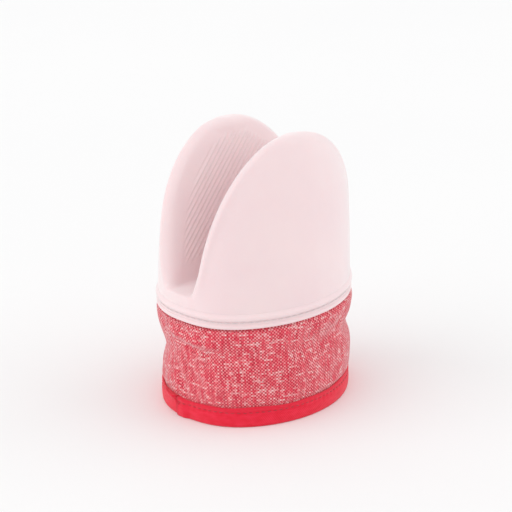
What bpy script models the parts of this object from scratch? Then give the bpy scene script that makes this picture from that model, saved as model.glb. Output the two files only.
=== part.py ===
# A small pinch-style oven mitt that stands on its hem with its mouth up: two hollow silicone
# lobes (fingers at -Y, thumb at +Y) on a silicone rim, and a sewn cloth cuff below.
# X runs along the slot between the lobes, Z is up, and the origin is on the floor, mid-hem.

import math

import bmesh
import bpy

# Clearances between pieces that touch on the real mitt
GAP = 0.0003
HINGE_CLEARANCE = 0.0006
SADDLE_CLEARANCE = 0.0004

# Rim: a moulded band with a sewing groove between two beads
RIM_HALF_WIDTH = 0.0480
RIM_HALF_DEPTH = 0.0388
RIM_BOTTOM_Z = 0.0451
BEAD_RADIUS = 0.0010
BEAD_SPACING = 0.0036
RIM_NECK = 0.0027
SILICONE_WALL = 0.0020
BEAD_STEPS = 4

# Lobes: an oval dome split by a slot that widens towards the tips
TOTAL_HEIGHT = 0.1200
DOME_START_Z = 0.0491
ARCH_POWER = 3.3
ARCH_ROOT = 2.96
TIP_OUTER_DEPTH = 0.0238
DEPTH_POWER = 1.55
DEPTH_ROOT = 1.40
SLOT_HALF_GAP = 0.0046
TIP_HALF_GAP = 0.0154
LOBE_EDGE_RADIUS = 0.0034
INNER_EDGE_RADIUS = 0.0010
LARGEST_EDGE_SHARE = 0.9
SPREAD_ANGLE = math.radians(5.0)
VALLEY_Z = 0.0565
VALLEY_EDGE_RADIUS = 0.0020
VALLEY_DEPTH = 0.0065

# Pocket layers inside each lobe
POCKET_WADDING = 0.0018
POCKET_LINING = 0.0008
SILICONE_TIP = 0.0030
WADDING_TIP = 0.0041
LINING_TIP = 0.0016
LAYER_TIP_GAP = 0.0005

# Cuff: cloth, wadding and lining from the hem up into the rim
HEM_HALF_WIDTH = 0.0453
HEM_HALF_DEPTH = 0.0381
WAIST_Z = 0.0290
WAIST_TUCK = 0.0022
BULGE_Z = 0.0400
BULGE_TUCK = 0.0006
CUFF_CLOTH = 0.0009
CUFF_WADDING = 0.0022
WADDING_CLEARANCE = 0.0016
CUFF_LINING = 0.0008
SEAM_HALF_WIDTH = 0.0070
SEAM_THICKNESS = 0.0018

# Hem binding: a folded tape round the lower edge
BINDING_HEIGHT = 0.0088
BINDING_THICKNESS = 0.0007
BINDING_FOLD_Z = 0.0010
LAP_THICKNESS = 0.0006
LAP_HALF_ANGLE = math.radians(6.0)
TOPSTITCH_Z = 0.0066
THREAD_RADIUS = 0.0002
THREAD_SIDES = 4

ROUND_STEPS = 44
POCKET_ARC_STEPS = 13
LOBE_ARC_STEPS = 16
FILLET_STEPS = 3
VALLEY_STEPS = 4
CUFF_STEPS = 4
SEAM_STEPS = 4
WADDING_STEPS = 19
BAR_SIDES = 6
LOBE_SHARES = (0.15, 0.30, 0.45, 0.59, 0.71, 0.81, 0.89, 0.945, 0.98, 0.9975)
POCKET_SHARES = (0.07, 0.18, 0.36, 0.53, 0.68, 0.80, 0.90, 0.96, 0.995)

# Sizes that follow from the ones above
BODY_HALF_WIDTH = RIM_HALF_WIDTH - BEAD_RADIUS
BODY_HALF_DEPTH = RIM_HALF_DEPTH - BEAD_RADIUS
GROOVE_Z = RIM_BOTTOM_Z + BEAD_RADIUS + BEAD_SPACING / 2
RIM_TOP_Z = RIM_BOTTOM_Z + BEAD_RADIUS + BEAD_SPACING + RIM_NECK
SADDLE_BOTTOM_Z = VALLEY_Z - VALLEY_DEPTH
CUFF_TOP_Z = min(SADDLE_BOTTOM_Z, RIM_TOP_Z) - GAP
LOBE_BOTTOM_Z = RIM_TOP_Z + HINGE_CLEARANCE
HINGE_Z = (LOBE_BOTTOM_Z + VALLEY_Z) / 2
TUCK_WIDTH = BODY_HALF_WIDTH - SILICONE_WALL - GAP
TUCK_DEPTH = BODY_HALF_DEPTH - SILICONE_WALL - GAP
CLOTH_HEM_WIDTH = HEM_HALF_WIDTH - BINDING_THICKNESS - GAP
CLOTH_HEM_DEPTH = HEM_HALF_DEPTH - BINDING_THICKNESS - GAP
WADDING_BOTTOM_Z = BINDING_HEIGHT + WADDING_CLEARANCE
FOLD_START_Z = RIM_BOTTOM_Z - 3 * GAP
STACK_INNER = CUFF_CLOTH + CUFF_WADDING + CUFF_LINING + 2 * GAP
HEM_INNER = CUFF_CLOTH + CUFF_LINING + 2 * GAP
FULL_TURN = 2 * math.pi

SILICONE_PINK = (0.90, 0.74, 0.75, 1.0)
CLOTH_RED = (0.66, 0.13, 0.17, 1.0)
BINDING_RED = (0.80, 0.03, 0.06, 1.0)
THREAD_RED = (0.70, 0.03, 0.05, 1.0)
THREAD_PINK = (0.80, 0.60, 0.61, 1.0)
LINING_CREAM = (0.80, 0.76, 0.70, 1.0)
WADDING_WHITE = (0.88, 0.87, 0.84, 1.0)


def clear_scene():
    for item in list(bpy.data.objects):
        bpy.data.objects.remove(item, do_unlink=True)


def new_collection(name):
    group = bpy.data.collections.new(name)
    bpy.context.scene.collection.children.link(group)
    return group


def new_material(name, colour, roughness):
    material = bpy.data.materials.new(name)
    material.use_nodes = True
    shader = material.node_tree.nodes["Principled BSDF"]
    shader.inputs["Base Color"].default_value = colour
    shader.inputs["Roughness"].default_value = roughness
    shader.inputs["Metallic"].default_value = 0.0
    return material


def loft(name, loops, wraps, material, pivot=(0.0, 0.0, 0.0)):
    # Skins matching closed loops into one solid: a ring when it wraps, else capped at both ends.
    mesh = bpy.data.meshes.new(name)
    shape = bmesh.new()
    rows = []
    for loop in loops:
        rows.append([shape.verts.new([p - o for p, o in zip(point, pivot)]) for point in loop])
    count = len(loops[0])
    for index in range(len(rows) if wraps else len(rows) - 1):
        low, high = rows[index], rows[(index + 1) % len(rows)]
        for k in range(count):
            shape.faces.new((low[k], low[(k + 1) % count], high[(k + 1) % count], high[k]))
    if not wraps:
        shape.faces.new(rows[0])
        shape.faces.new(rows[-1])
    bmesh.ops.recalc_face_normals(shape, faces=shape.faces)
    bmesh.ops.triangulate(shape, faces=[face for face in shape.faces if len(face.verts) > 4])
    shape.to_mesh(mesh)
    shape.free()
    mesh.shade_smooth()
    mesh.set_sharp_from_angle(angle=math.radians(40))
    mesh.materials.append(material)
    item = bpy.data.objects.new(name, mesh)
    item.location = pivot
    parts.objects.link(item)
    return item


def oval_point(half_width, half_depth, outset, angle, z):
    # A point standing outset outside an oval, along the oval's own normal.
    across, along = math.cos(angle), math.sin(angle)
    normal = (across * half_depth, along * half_width)
    length = math.hypot(*normal)
    x = half_width * across + outset * normal[0] / length
    y = half_depth * along + outset * normal[1] / length
    return (x, y, z)


def turns(start=0.0, sweep=FULL_TURN, steps=ROUND_STEPS):
    # Angles round the oval: a full turn leaves out the last one, which is the first again.
    whole = sweep >= FULL_TURN
    return [start + sweep * k / steps for k in range(steps if whole else steps + 1)]


def arc(centre, radius, start, end, steps):
    return [
        (
            centre[0] + radius * math.cos(start + (end - start) * k / steps),
            centre[1] + radius * math.sin(start + (end - start) * k / steps),
        )
        for k in range(steps + 1)
    ]


# Rim and valley


def rim_profile():
    # The band's cross-section as (outset from the body, z): two round beads and a groove.
    lower_z = RIM_BOTTOM_Z + BEAD_RADIUS
    upper_z = lower_z + BEAD_SPACING
    quarter = math.pi / 2
    lower = arc((0.0, lower_z), BEAD_RADIUS, -quarter, quarter, BEAD_STEPS)
    upper = arc((0.0, upper_z), BEAD_RADIUS, -quarter, quarter, BEAD_STEPS)
    return lower + upper + [(0.0, RIM_TOP_Z), (-SILICONE_WALL, RIM_TOP_Z), (-SILICONE_WALL, RIM_BOTTOM_Z)]


def make_rim(material):
    profile = rim_profile()
    sections = [
        [oval_point(BODY_HALF_WIDTH, BODY_HALF_DEPTH, outset, angle, z) for outset, z in profile]
        for angle in turns()
    ]
    rim = loft("silicone_rim", sections, True, material)
    saddle = make_saddle(material)
    union = rim.modifiers.new("saddle", "BOOLEAN")
    union.operation = "UNION"
    union.solver = "EXACT"
    union.object = saddle
    return rim


def make_saddle(material):
    # The web that closes the bottom of the slot, ending inside the rim's wall.
    half_width = slot_half_gap(LOBE_BOTTOM_Z) - HINGE_CLEARANCE - SADDLE_CLEARANCE
    reach = BODY_HALF_WIDTH * math.sqrt(1 - (half_width / BODY_HALF_DEPTH) ** 2) - GAP
    mesh = bpy.data.meshes.new("saddle_web")
    shape = bmesh.new()
    bmesh.ops.create_cube(shape, size=1.0)
    bmesh.ops.scale(shape, vec=(2 * reach, 2 * half_width, VALLEY_DEPTH), verts=shape.verts)
    bmesh.ops.translate(shape, vec=(0, 0, VALLEY_Z - VALLEY_DEPTH / 2), verts=shape.verts)
    top = [edge for edge in shape.edges if min(v.co.z for v in edge.verts) > VALLEY_Z - GAP]
    bmesh.ops.bevel(shape, geom=top, offset=VALLEY_EDGE_RADIUS, segments=VALLEY_STEPS, profile=0.5, affect="EDGES")
    shape.to_mesh(mesh)
    shape.free()
    mesh.materials.append(material)
    web = bpy.data.objects.new("saddle_web", mesh)
    web.hide_render = True
    web.display_type = "WIRE"
    cutters.objects.link(web)
    return web


# Lobes and their pocket layers


def dome_share(z, top_z):
    return min(1.0, max(0.0, (z - DOME_START_Z) / (top_z - DOME_START_Z)))


def slot_half_gap(z):
    return SLOT_HALF_GAP + (TIP_HALF_GAP - SLOT_HALF_GAP) * dome_share(z, TOTAL_HEIGHT)


def outer_depth(z):
    fall = (1 - dome_share(z, TOTAL_HEIGHT) ** DEPTH_POWER) ** (1 / DEPTH_ROOT)
    return TIP_OUTER_DEPTH + (BODY_HALF_DEPTH - TIP_OUTER_DEPTH) * fall


def arch_half_width(z, inset, top_z):
    fall = (1 - dome_share(z, top_z) ** ARCH_POWER) ** (1 / ARCH_ROOT)
    return (BODY_HALF_WIDTH - inset) * fall


def lobe_loop(z, inset, top_z, side, arc_steps):
    # A level cut through one lobe: the oval beyond the slot, with its two corners rounded off.
    edge = max(LOBE_EDGE_RADIUS, inset + INNER_EDGE_RADIUS)
    reach = edge - inset
    over = max(0.0, (z - (top_z - reach)) / reach)
    half_width = arch_half_width(z, inset, top_z)
    radius = min(reach * math.sqrt(max(0.0, 1 - over**2)), LARGEST_EDGE_SHARE * half_width)
    core_width = half_width - radius
    core_depth = outer_depth(z) - edge
    core_front = slot_half_gap(z) + edge
    corner = math.asin(core_front / core_depth)
    points = []
    for k in range(arc_steps + 1):
        angle = corner + (math.pi - 2 * corner) * k / arc_steps
        points.append(oval_point(core_width, core_depth, radius, angle, z))
    turn = math.atan2(math.sin(corner) * core_width, math.cos(corner) * core_depth)
    centre_x = core_width * math.cos(corner)
    fillet = arc((0.0, core_front), radius, turn, -math.pi / 2, FILLET_STEPS)[1:]
    points += [(-centre_x - dx, y, z) for dx, y in fillet]
    points += [(centre_x + dx, y, z) for dx, y in reversed(fillet)]
    return [(x, side * y, level) for x, y, level in points]


def tilted(loop, side, base_z):
    # The bottom edge rises away from the slot, so that the lobe can also lean outwards.
    rise = math.tan(SPREAD_ANGLE)
    front = slot_half_gap(base_z)
    return [(x, y, base_z + rise * (side * y - front)) for x, y, _ in loop]


def dome_loops(inset, top_z, side, shares, arc_steps):
    bottom = tilted(lobe_loop(LOBE_BOTTOM_Z, inset, top_z, side, arc_steps), side, LOBE_BOTTOM_Z)
    clear_z = LOBE_BOTTOM_Z + math.tan(SPREAD_ANGLE) * BODY_HALF_DEPTH
    levels = [clear_z + (top_z - clear_z) * share for share in shares]
    return [bottom] + [lobe_loop(z, inset, top_z, side, arc_steps) for z in levels]


def dome_shell(name, outside, inside, side, shares, arc_steps, material):
    # A hollow dome between two insets, each given as (inset, top_z), open at the bottom.
    inner = dome_loops(inside[0], inside[1], side, shares, arc_steps)
    outer = dome_loops(outside[0], outside[1], side, shares, arc_steps)
    pivot = (0.0, side * slot_half_gap(LOBE_BOTTOM_Z), HINGE_Z)
    return loft(name, inner[::-1] + outer, False, material, pivot)


def make_lobe(word, side, silicone, wadding, lining):
    tip = TOTAL_HEIGHT - SILICONE_TIP
    wall = SILICONE_WALL
    dome_shell(f"{word}_lobe_shell", (0.0, TOTAL_HEIGHT), (wall, tip), side, LOBE_SHARES,
               LOBE_ARC_STEPS, silicone)
    outside = (wall + GAP, tip - LAYER_TIP_GAP)
    inside = (outside[0] + POCKET_WADDING, outside[1] - WADDING_TIP)
    dome_shell(f"{word}_pocket_wadding", outside, inside, side, POCKET_SHARES, POCKET_ARC_STEPS, wadding)
    outside = (inside[0] + GAP, inside[1] - LAYER_TIP_GAP)
    inside = (outside[0] + POCKET_LINING, outside[1] - LINING_TIP)
    dome_shell(f"{word}_pocket_lining", outside, inside, side, POCKET_SHARES, POCKET_ARC_STEPS, lining)


def make_saddle_lining(material):
    # The strip of lining that joins the two pockets under the web.
    reach = TUCK_WIDTH - STACK_INNER - 4 * THREAD_RADIUS - GAP
    half_width = slot_half_gap(LOBE_BOTTOM_Z)
    top_z = CUFF_TOP_Z
    corners = [(-half_width, top_z - CUFF_LINING), (half_width, top_z - CUFF_LINING),
               (half_width, top_z), (-half_width, top_z)]
    loft("saddle_lining", [[(x, y, z) for y, z in corners] for x in (-reach, reach)], False, material)


# Cuff layers


def ease(share):
    return share * share * (3 - 2 * share)


def cuff_outline(z):
    # Half width and half depth of the cloth's outer face, between stations that set its curve.
    waist = (CLOTH_HEM_WIDTH + BODY_HALF_WIDTH) / 2 - WAIST_TUCK / 2
    waist_depth = (CLOTH_HEM_DEPTH + BODY_HALF_DEPTH) / 2 - WAIST_TUCK / 2
    stations = (
        (0.0, CLOTH_HEM_WIDTH, CLOTH_HEM_DEPTH),
        (WADDING_BOTTOM_Z, CLOTH_HEM_WIDTH, CLOTH_HEM_DEPTH),
        (WAIST_Z, waist, waist_depth),
        (BULGE_Z, BODY_HALF_WIDTH - BULGE_TUCK, BODY_HALF_DEPTH - BULGE_TUCK),
        (FOLD_START_Z, BODY_HALF_WIDTH - 2 * BULGE_TUCK, BODY_HALF_DEPTH - 2 * BULGE_TUCK),
        (RIM_BOTTOM_Z - GAP, TUCK_WIDTH, TUCK_DEPTH),
        (RIM_TOP_Z, TUCK_WIDTH, TUCK_DEPTH),
    )
    for low, high in zip(stations, stations[1:]):
        if z <= high[0]:
            share = ease((z - low[0]) / (high[0] - low[0]))
            return tuple(a + (b - a) * share for a, b in zip(low[1:], high[1:]))
    return stations[-1][1:]


def cuff_levels(bottom_z):
    levels = [bottom_z + (BULGE_Z - bottom_z) * k / CUFF_STEPS for k in range(CUFF_STEPS + 1)]
    return levels + [FOLD_START_Z, RIM_BOTTOM_Z - GAP, CUFF_TOP_Z]


def cuff_layer(name, inset_at, thickness, levels, angles, wraps, material):
    # A cloth layer whose outer face lies inset_at(z) inside the cuff's outline.
    def section(angle):
        outer = [oval_point(*cuff_outline(z), -inset_at(z), angle, z) for z in levels]
        inner = [oval_point(*cuff_outline(z), -inset_at(z) - thickness, angle, z) for z in levels]
        return outer + inner[::-1]

    return loft(name, [section(angle) for angle in angles], wraps, material)


def lining_inset(z):
    # Close behind the cloth inside the binding, and behind the wadding above it.
    share = ease(min(1.0, max(0.0, (z - BINDING_HEIGHT) / (WADDING_BOTTOM_Z - BINDING_HEIGHT))))
    return CUFF_CLOTH + GAP + (CUFF_WADDING + GAP) * share


def make_cuff(cloth, wadding, lining):
    inside_cloth = CUFF_CLOTH + GAP
    whole = turns()
    cloth_levels = [BINDING_FOLD_Z] + cuff_levels(WADDING_BOTTOM_Z)
    cuff_layer("cuff_cloth", lambda z: 0.0, CUFF_CLOTH, cloth_levels, whole, True, cloth)
    lining_levels = [BINDING_FOLD_Z, BINDING_HEIGHT] + cuff_levels(WADDING_BOTTOM_Z)
    cuff_layer("cuff_lining", lining_inset, CUFF_LINING, lining_levels, whole, True, lining)
    seam_angle = SEAM_HALF_WIDTH / TUCK_DEPTH
    wadding_start = seam_angle + 2 * GAP / TUCK_DEPTH
    sweep = math.pi - 2 * wadding_start
    wadding_levels = cuff_levels(WADDING_BOTTOM_Z + GAP)
    for name, start in (("cuff_wadding_back", 0.0), ("cuff_wadding_front", math.pi)):
        angles = turns(start + wadding_start, sweep, WADDING_STEPS)
        cuff_layer(name, lambda z: inside_cloth, CUFF_WADDING, wadding_levels, angles, False, wadding)
    seams = (("cuff_seam_allowance", math.pi, inside_cloth, cloth),
             ("lining_seam_allowance", 0.0, inside_cloth + CUFF_WADDING - SEAM_THICKNESS, lining))
    for name, middle, inset, material in seams:
        angles = turns(middle - seam_angle, 2 * seam_angle, SEAM_STEPS)
        cuff_layer(name, lambda z, i=inset: i, SEAM_THICKNESS, wadding_levels, angles, False, material)


# Binding and threads


def lap_rise(angle):
    # The tape's folded end lies on its start at -X, and stands proud of it there.
    away = abs(math.pi - angle % FULL_TURN) / LAP_HALF_ANGLE
    return LAP_THICKNESS * ease(max(0.0, 1 - away)) if away < 1 else 0.0


def binding_angles():
    # Evenly spaced, with the lap's own angles put in.
    extra = [math.pi + LAP_HALF_ANGLE * share for share in (-1.0, -0.55, 0.55, 1.0)]
    return sorted(turns() + extra)


def make_binding(tape):
    # A U of tape round the hem, resting flat on the floor.
    outer = GAP + BINDING_THICKNESS
    inner = -HEM_INNER - BINDING_THICKNESS
    soften = BINDING_THICKNESS / 2

    def section(angle):
        proud = outer + lap_rise(angle)
        profile = [
            (proud - soften, 0.0),
            (proud, soften),
            (proud, BINDING_HEIGHT - soften),
            (proud - soften, BINDING_HEIGHT),
            (GAP, BINDING_HEIGHT),
            (GAP, BINDING_THICKNESS),
            (-HEM_INNER, BINDING_THICKNESS),
            (-HEM_INNER, BINDING_HEIGHT - GAP),
            (inner, BINDING_HEIGHT - GAP),
            (inner, soften),
            (inner + soften, 0.0),
        ]
        return [oval_point(CLOTH_HEM_WIDTH, CLOTH_HEM_DEPTH, outset, angle, z) for outset, z in profile]

    loft("hem_binding", [section(angle) for angle in binding_angles()], True, tape)


def thread_ring(name, half_width, half_depth, outset_at, z, angles, material):
    def section(angle):
        circle = arc((outset_at(angle), z), THREAD_RADIUS, 0.0, FULL_TURN, THREAD_SIDES)[:-1]
        return [oval_point(half_width, half_depth, outset, angle, level) for outset, level in circle]

    loft(name, [section(angle) for angle in angles], True, material)


def make_threads(red, pink):
    clear = GAP + THREAD_RADIUS
    outside = GAP + BINDING_THICKNESS + clear
    inside = -HEM_INNER - BINDING_THICKNESS - clear
    hem = (CLOTH_HEM_WIDTH, CLOTH_HEM_DEPTH)
    thread_ring("binding_topstitch_outer", *hem, lambda a: outside + lap_rise(a), TOPSTITCH_Z,
                binding_angles(), red)
    thread_ring("binding_topstitch_inner", *hem, lambda a: inside, TOPSTITCH_Z, turns(), red)
    thread_ring("rim_seam_outer", BODY_HALF_WIDTH, BODY_HALF_DEPTH, lambda a: clear, GROOVE_Z,
                turns(), pink)
    thread_ring("rim_seam_inner", TUCK_WIDTH, TUCK_DEPTH, lambda a: -STACK_INNER - clear, GROOVE_Z,
                turns(), pink)
    joint_x = -(CLOTH_HEM_WIDTH + outside + LAP_THICKNESS)
    levels = (2 * BINDING_FOLD_Z, TOPSTITCH_Z - 2 * clear)
    bar = [
        [(joint_x + dx, y, z) for dx, y in arc((0.0, 0.0), THREAD_RADIUS, 0.0, FULL_TURN, BAR_SIDES)[:-1]]
        for z in levels
    ]
    loft("binding_joint_stitch", bar, False, red)


clear_scene()
parts = new_collection("oven_mitt")
cutters = new_collection("cutters")
silicone_pink = new_material("silicone_pink", SILICONE_PINK, 0.55)
cloth_red = new_material("cuff_cloth_red", CLOTH_RED, 0.9)
tape_red = new_material("binding_red", BINDING_RED, 0.85)
thread_red = new_material("thread_red", THREAD_RED, 0.7)
thread_pink = new_material("thread_pink", THREAD_PINK, 0.7)
lining_cream = new_material("lining_cream", LINING_CREAM, 0.95)
wadding_white = new_material("wadding_white", WADDING_WHITE, 1.0)

make_rim(silicone_pink)
for lobe_word, lobe_side in (("finger", -1), ("thumb", 1)):
    make_lobe(lobe_word, lobe_side, silicone_pink, wadding_white, lining_cream)
make_saddle_lining(lining_cream)
make_cuff(cloth_red, wadding_white, lining_cream)
make_binding(tape_red)
make_threads(thread_red, thread_pink)
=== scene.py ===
import math

import bpy
import numpy as np
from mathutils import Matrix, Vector
from mathutils.kdtree import KDTree


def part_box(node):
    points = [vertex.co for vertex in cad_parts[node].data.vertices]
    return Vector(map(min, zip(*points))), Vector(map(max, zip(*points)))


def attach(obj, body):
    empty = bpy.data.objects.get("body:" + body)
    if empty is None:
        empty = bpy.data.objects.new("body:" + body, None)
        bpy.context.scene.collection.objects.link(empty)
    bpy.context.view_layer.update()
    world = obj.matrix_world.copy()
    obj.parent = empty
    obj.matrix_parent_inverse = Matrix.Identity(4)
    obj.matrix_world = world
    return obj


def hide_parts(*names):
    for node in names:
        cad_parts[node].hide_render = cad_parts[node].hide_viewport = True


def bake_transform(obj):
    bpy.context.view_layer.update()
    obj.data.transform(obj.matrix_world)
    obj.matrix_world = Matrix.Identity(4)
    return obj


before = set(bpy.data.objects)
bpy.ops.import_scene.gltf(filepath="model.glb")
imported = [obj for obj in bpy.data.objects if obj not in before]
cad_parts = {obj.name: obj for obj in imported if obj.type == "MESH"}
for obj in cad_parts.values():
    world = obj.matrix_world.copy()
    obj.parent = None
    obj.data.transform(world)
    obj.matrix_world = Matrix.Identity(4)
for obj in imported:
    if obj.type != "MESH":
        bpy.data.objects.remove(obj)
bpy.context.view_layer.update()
fullTurn = 2 * math.pi
seamAngle = math.pi - 0.056  # where the tape ends meet


# small helpers shared by the pieces
def deselectAll():
    if bpy.context.mode != "OBJECT":
        bpy.ops.object.mode_set(mode="OBJECT")
    bpy.ops.object.select_all(action="DESELECT")


def pickPiece(piece):
    deselectAll()
    piece.select_set(True)
    bpy.context.view_layer.objects.active = piece


def applyModifier(piece, kind, **settings):
    pickPiece(piece)
    modifier = piece.modifiers.new(kind.lower(), kind)
    for key, value in settings.items():
        setattr(modifier, key, value)
    bpy.ops.object.modifier_apply(modifier=modifier.name)


def editWhole(piece, *steps):
    pickPiece(piece)
    bpy.ops.object.mode_set(mode="EDIT")
    bpy.ops.mesh.select_all(action="SELECT")
    for step in steps:
        step()
    bpy.ops.object.mode_set(mode="OBJECT")


def weldPoints():
    bpy.ops.mesh.remove_doubles(threshold=1e-6)


def faceOutwards():
    bpy.ops.mesh.normals_make_consistent(inside=False)


def readPoints(piece):
    points = np.empty(len(piece.data.vertices) * 3, np.float32)
    piece.data.vertices.foreach_get("co", points)
    return points.reshape(-1, 3).astype(float)


def writePoints(piece, points):
    piece.data.vertices.foreach_set("co", np.ascontiguousarray(points, np.float32).ravel())
    piece.data.update()


def softShade(piece, degrees=50):
    pickPiece(piece)
    bpy.ops.object.shade_smooth_by_angle(angle=math.radians(degrees))


def wrapGrid(name, points, size=(1.0, 1.0)):
    # a flat grid laid over a table of points, rows by columns, with its UV map in metres
    rows, columns = points.shape[:2]
    deselectAll()
    bpy.ops.mesh.primitive_grid_add(x_subdivisions=columns - 1, y_subdivisions=rows - 1, size=2)
    piece = bpy.context.object
    piece.name = piece.data.name = name
    flat = readPoints(piece)
    column = np.rint((flat[:, 0] + 1) / 2 * (columns - 1)).astype(int)
    row = np.rint((flat[:, 1] + 1) / 2 * (rows - 1)).astype(int)
    writePoints(piece, points[row, column])
    layer = piece.data.uv_layers[0]
    uv = np.empty(len(layer.data) * 2, np.float32)
    layer.data.foreach_get("uv", uv)
    layer.data.foreach_set("uv", (uv.reshape(-1, 2) * np.array(size)).astype(np.float32).ravel())
    editWhole(piece, weldPoints, faceOutwards)
    return piece


def smoothStep(low, high, value):
    share = np.clip((value - low) / (high - low), 0, 1)
    return share * share * (3 - 2 * share)


def ovalPoints(halfWidth, halfDepth, outset, angle, z):
    # points standing outset outside an oval, along the oval's own normal
    across, along = np.cos(angle), np.sin(angle)
    normalX, normalY = across * halfDepth, along * halfWidth
    length = np.hypot(normalX, normalY)
    x = halfWidth * across + outset * normalX / length
    y = halfDepth * along + outset * normalY / length
    return np.stack(np.broadcast_arrays(x, y, z), axis=-1)


def evenAngles(halfWidth, halfDepth, count):
    # angles a constant distance apart along an oval, from the seam all the way round, and its length
    fine = np.linspace(0, fullTurn, 2001) + seamAngle
    line = ovalPoints(halfWidth, halfDepth, 0.0, fine, 0.0)
    steps = np.linalg.norm(np.diff(line, axis=0), axis=1)
    travelled = np.concatenate([[0.0], np.cumsum(steps)])
    return np.interp(np.linspace(0, travelled[-1], count), travelled, fine), travelled[-1]


# node helpers for the materials
def startMaterial(name, colour, roughness):
    material = bpy.data.materials.new(name)
    material.use_nodes = True
    shader = material.node_tree.nodes["Principled BSDF"]
    shader.inputs["Base Color"].default_value = (*colour, 1.0)
    shader.inputs["Roughness"].default_value = roughness
    return material, material.node_tree, shader


def feed(tree, socket, value):
    if isinstance(value, (int, float)):
        socket.default_value = value
    elif isinstance(value, tuple):
        socket.default_value = (*value, 1.0) if len(value) == 3 and socket.type == "RGBA" else value
    else:
        tree.links.new(value, socket)


def mathNode(tree, operation, *values):
    node = tree.nodes.new("ShaderNodeMath")
    node.operation = operation
    for socket, value in zip(node.inputs, values):
        feed(tree, socket, value)
    return node.outputs[0]


def addNodes(tree, first, second):
    return mathNode(tree, "ADD", first, second)


def timesNode(tree, first, second):
    return mathNode(tree, "MULTIPLY", first, second)


def mixColours(tree, share, first, second, blend="MIX"):
    node = tree.nodes.new("ShaderNodeMix")
    node.data_type = "RGBA"
    node.blend_type = blend
    feed(tree, node.inputs[0], share)
    feed(tree, node.inputs[6], first)
    feed(tree, node.inputs[7], second)
    return node.outputs[2]


def noiseNode(tree, vector, scale, detail=2.0, roughness=0.5):
    node = tree.nodes.new("ShaderNodeTexNoise")
    feed(tree, node.inputs["Vector"], vector)
    node.inputs["Scale"].default_value = scale
    node.inputs["Detail"].default_value = detail
    node.inputs["Roughness"].default_value = roughness
    return node.outputs["Fac"]


def rangeNode(tree, value, fromLow, fromHigh, toLow=0.0, toHigh=1.0):
    node = tree.nodes.new("ShaderNodeMapRange")
    node.clamp = True
    for socket, item in zip(node.inputs, (value, fromLow, fromHigh, toLow, toHigh)):
        feed(tree, socket, item)
    return node.outputs[0]


def joinVector(tree, x, y, z=0.0):
    node = tree.nodes.new("ShaderNodeCombineXYZ")
    for socket, value in zip(node.inputs, (x, y, z)):
        feed(tree, socket, value)
    return node.outputs[0]


def splitVector(tree, vector):
    node = tree.nodes.new("ShaderNodeSeparateXYZ")
    feed(tree, node.inputs[0], vector)
    return node.outputs[0], node.outputs[1], node.outputs[2]


def objectPoint(tree):
    return tree.nodes.new("ShaderNodeTexCoord").outputs["Object"]


def clothPoint(tree):
    return splitVector(tree, tree.nodes.new("ShaderNodeUVMap").outputs[0])[:2]


def bumpNode(tree, shader, height, distance, strength=1.0):
    node = tree.nodes.new("ShaderNodeBump")
    node.inputs["Strength"].default_value = strength
    node.inputs["Distance"].default_value = distance
    feed(tree, node.inputs["Height"], height)
    tree.links.new(node.outputs[0], shader.inputs["Normal"])


# the materials, one function for each
def makeSilicone():
    # matte pink silicone: cloudy, faintly translucent, with a fine mould texture
    material, tree, shader = startMaterial("paleSilicone", (0.87, 0.66, 0.69), 0.52)
    point = objectPoint(tree)
    cloud = rangeNode(tree, noiseNode(tree, point, 38.0, 3.0), 0.35, 0.7)
    colour = mixColours(tree, cloud, (0.885, 0.698, 0.706), (0.86, 0.660, 0.680))
    dust = rangeNode(tree, noiseNode(tree, point, 2600.0, 1.0), 0.71, 0.76, 0.0, 0.35)
    feed(tree, shader.inputs["Base Color"], mixColours(tree, dust, colour, (0.93, 0.84, 0.84)))
    patches = rangeNode(tree, noiseNode(tree, point, 120.0), 0.3, 0.7, 0.47, 0.6)
    feed(tree, shader.inputs["Roughness"], patches)
    shader.inputs["Sheen Weight"].default_value = 0.9
    shader.inputs["Sheen Roughness"].default_value = 0.5
    shader.inputs["Subsurface Weight"].default_value = 0.12
    shader.inputs["Subsurface Radius"].default_value = (1.0, 0.45, 0.4)
    shader.inputs["Subsurface Scale"].default_value = 0.003
    shader.inputs["Specular IOR Level"].default_value = 0.5
    grain = noiseNode(tree, point, 3000.0, 2.0, 0.6)
    waves = noiseNode(tree, point, 90.0, 2.0)
    bumpNode(tree, shader, addNodes(tree, grain, timesNode(tree, waves, 4.0)), 0.00006)
    return material


def cellNoise(tree, column, row):
    # one random value for each crossing of the weave
    node = tree.nodes.new("ShaderNodeTexWhiteNoise")
    node.noise_dimensions = "2D"
    feed(tree, node.inputs["Vector"], joinVector(tree, column, row))
    return node.outputs["Value"]


def threadCrown(tree, count):
    # round tops, one for each whole number of the count
    return mathNode(tree, "ABSOLUTE", mathNode(tree, "SINE", timesNode(tree, count, math.pi)))


def shadeColour(tree, colour, shade):
    return mixColours(tree, 1.0, colour, joinVector(tree, shade, shade, shade), "MULTIPLY")


def stretchedNoise(tree, x, y, scaleX, scaleY, seed=0.0, detail=1.0):
    # noise drawn out along one direction of the cloth
    vector = joinVector(tree, timesNode(tree, x, scaleX), timesNode(tree, y, scaleY), seed)
    return noiseNode(tree, vector, 1.0, detail)


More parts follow.
